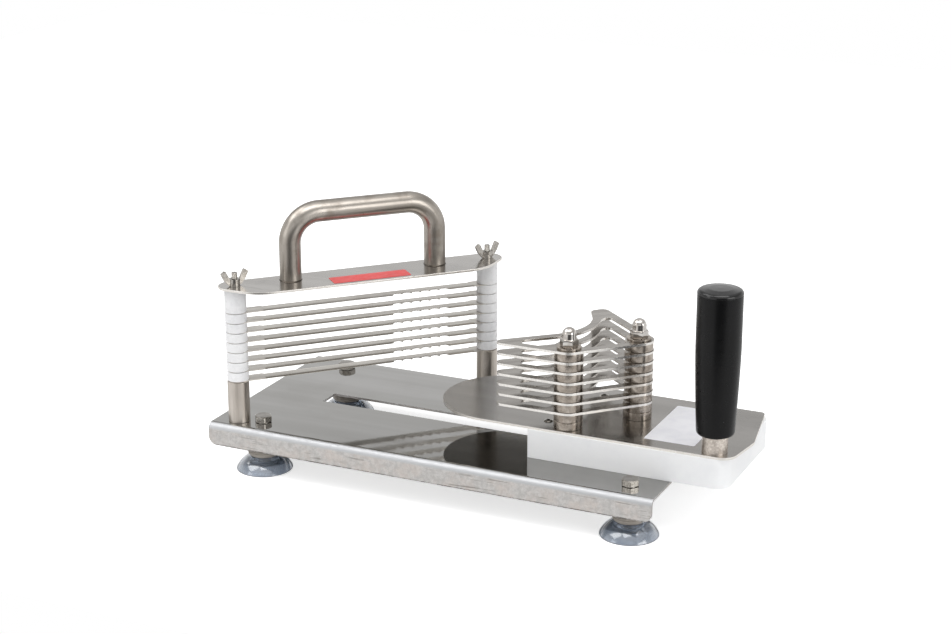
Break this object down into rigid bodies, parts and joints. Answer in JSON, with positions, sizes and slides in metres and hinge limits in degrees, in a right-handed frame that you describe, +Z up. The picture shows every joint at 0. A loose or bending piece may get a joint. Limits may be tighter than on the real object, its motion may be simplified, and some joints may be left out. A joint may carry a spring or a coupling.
{
  "type": "tomato slicer",
  "caption": "Push slicer on suction feet: a slide with a stack of flat plates pushes the fruit through a fixed stack of thin blades set askew.",
  "frame": {"origin": "on the worktop under the middle of the outline: halfway along the length at rest, on the centre line of the slide slot, at the level of the cup rims", "axes": "+X along the base from the blade end to the grip end, +Y towards the rear, away from the side with the grip, +Z up"},
  "size_m": [0.4423, 0.1926, 0.2224],
  "materials": {
    "base_steel": "folded stainless sheet with a fine grain along the length",
    "plate_steel": "flat stainless plate with a fine grain",
    "pusher_steel": "laser-cut stainless plate with dull edges",
    "blade_steel": "thin ground blade with a bright bevel",
    "tube_steel": "satin stainless bar and tube",
    "bright_steel": "bright turned and plated fasteners",
    "insert_brass": "turned brass, hidden in the block",
    "clip_steel": "spring steel, hidden in the grip",
    "white_spacer": "smooth white plastic",
    "white_block": "machined white cutting-board plastic",
    "black_grip": "satin black moulded plastic",
    "cup_pvc": "clear bluish soft plastic",
    "collar_rubber": "grey-brown rubber",
    "red_label": "plain red film",
    "white_label": "plain white film"
  },
  "bodies": {
    "base_frame": {"base": "base_steel", "suction_cup_front_left": "cup_pvc", "suction_cup_front_right": "cup_pvc", "suction_cup_rear_left": "cup_pvc", "suction_cup_rear_right": "cup_pvc", "foot_collar_front_left": "collar_rubber", "foot_collar_front_right": "collar_rubber", "foot_collar_rear_left": "collar_rubber", "foot_collar_rear_right": "collar_rubber", "foot_bolts": "bright_steel", "post_tube_left": "tube_steel", "post_tube_right": "tube_steel", "tie_rod_left": "bright_steel", "tie_rod_right": "bright_steel", "tie_rod_nuts": "bright_steel", "tie_rod_washers": "bright_steel", "blade_1": "blade_steel", "blade_2": "blade_steel", "blade_3": "blade_steel", "blade_4": "blade_steel", "blade_5": "blade_steel", "blade_6": "blade_steel", "blade_7": "blade_steel", "blade_8": "blade_steel", "blade_rings_left": "white_spacer", "blade_rings_right": "white_spacer", "top_spacer_left": "white_spacer", "top_spacer_right": "white_spacer", "top_plate": "plate_steel", "carry_handle": "tube_steel", "frame_label": "red_label"},
    "carriage": {"slide_block": "white_block", "keeper": "white_block", "keeper_screws": "bright_steel", "carriage_plate": "plate_steel", "plate_screws": "bright_steel", "thread_inserts": "insert_brass", "pusher_rod_front": "bright_steel", "pusher_rod_rear": "bright_steel", "pusher_plate_1": "pusher_steel", "pusher_plate_2": "pusher_steel", "pusher_plate_3": "pusher_steel", "pusher_plate_4": "pusher_steel", "pusher_plate_5": "pusher_steel", "pusher_plate_6": "pusher_steel", "pusher_plate_7": "pusher_steel", "pusher_rings_front": "bright_steel", "pusher_rings_rear": "bright_steel", "pusher_washers": "bright_steel", "dome_nuts": "bright_steel", "grip_spindle": "bright_steel", "grip_clip": "clip_steel", "carriage_label": "white_label"},
    "turning_grip": {"grip": "black_grip", "grip_cap": "black_grip"},
    "left_wing_nut": {"wing_nut_left": "bright_steel"},
    "right_wing_nut": {"wing_nut_right": "bright_steel"}
  },
  "joints": [
    {"name": "carriage_slide", "type": "slide", "parent": "base_frame", "child": "carriage", "axis": [-1, 0, 0], "range_m": [0, 0.2087]},
    {"name": "grip_spin", "type": "hinge", "parent": "carriage", "child": "turning_grip", "pos_m": [0.199, -0.0418, 0.121], "axis": [0, 0, 1], "continuous": true},
    {"name": "wing_nut_left_turn", "type": "hinge", "parent": "base_frame", "child": "left_wing_nut", "pos_m": [-0.2009, -0.0794, 0.1617], "axis": [0, 0, 1], "continuous": true},
    {"name": "wing_nut_right_turn", "type": "hinge", "parent": "base_frame", "child": "right_wing_nut", "pos_m": [-0.04877, 0.08091, 0.1617], "axis": [0, 0, 1], "continuous": true}
  ]
}
